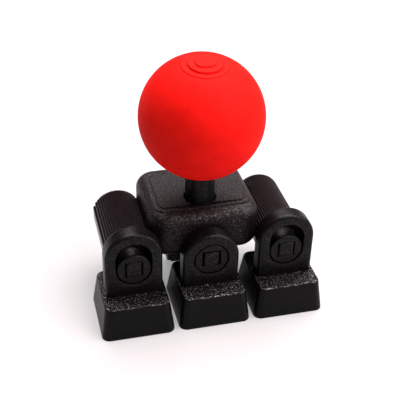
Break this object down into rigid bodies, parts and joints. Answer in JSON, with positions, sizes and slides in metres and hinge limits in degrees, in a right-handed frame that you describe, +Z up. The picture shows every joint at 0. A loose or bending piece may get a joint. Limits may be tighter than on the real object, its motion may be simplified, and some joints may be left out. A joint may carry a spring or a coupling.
{
  "type": "cursor key joystick",
  "caption": "Small joystick with a ball top that tilts on key-cap feet and stands on the cursor keys of a keyboard.",
  "frame": {"origin": "centre of the front foot's cross socket, level with the key caps' rims", "axes": "+X to the user's right, +Y away from the user, +Z up"},
  "size_m": [0.056, 0.0358, 0.0632],
  "materials": {
    "ball_red": "matte, fine print lines",
    "body_black": "matte with a fine sparkle grain",
    "cap_black": "satin sides, stippled top",
    "part_black": "satin"
  },
  "bodies": {
    "front_foot": {"front_keycap": "cap_black", "front_lug": "part_black", "front_stem": "part_black"},
    "joystick": {"ball_upper": "ball_red", "ball_lower": "ball_red", "stick_shaft": "part_black", "body_shell": "body_black", "base_plate": "body_black", "rear_pin": "part_black", "front_boss": "part_black", "front_square_key": "part_black", "left_barrel": "body_black", "right_barrel": "body_black", "left_arm": "part_black", "right_arm": "part_black"},
    "rear_foot": {"rear_lug": "part_black", "rear_stem": "part_black"},
    "left_follower": {"left_boss": "part_black", "left_square_key": "part_black"},
    "right_follower": {"right_boss": "part_black", "right_square_key": "part_black"},
    "left_foot": {"left_keycap": "cap_black", "left_lug": "part_black", "left_stem": "part_black"},
    "right_foot": {"right_keycap": "cap_black", "right_lug": "part_black", "right_stem": "part_black"}
  },
  "joints": [
    {"name": "stick_roll", "type": "hinge", "parent": "front_foot", "child": "joystick", "pos_m": [0, 0, 0.0159], "axis": [0, 1, 0], "range_deg": [-9, 9]},
    {"name": "rear_foot_swing", "type": "hinge", "parent": "joystick", "child": "rear_foot", "pos_m": [0, 0.01905, 0.0159], "axis": [0, 1, 0], "range_deg": [-9, 9]},
    {"name": "left_boss_turn", "type": "hinge", "parent": "joystick", "child": "left_follower", "pos_m": [-0.01905, 0, 0.0159], "axis": [0, 1, 0], "range_deg": [-9, 9]},
    {"name": "right_boss_turn", "type": "hinge", "parent": "joystick", "child": "right_follower", "pos_m": [0.01905, 0, 0.0159], "axis": [0, 1, 0], "range_deg": [-9, 9]},
    {"name": "left_foot_slide", "type": "slide", "parent": "left_follower", "child": "left_foot", "axis": [0, 0, 1], "range_m": [-0.003, 0]},
    {"name": "right_foot_slide", "type": "slide", "parent": "right_follower", "child": "right_foot", "axis": [0, 0, 1], "range_m": [-0.003, 0]}
  ],
  "couplings": [
    {"joint": "rear_foot_swing", "follows": "stick_roll", "ratio": -1},
    {"joint": "left_boss_turn", "follows": "stick_roll", "ratio": -1},
    {"joint": "right_boss_turn", "follows": "stick_roll", "ratio": -1}
  ]
}
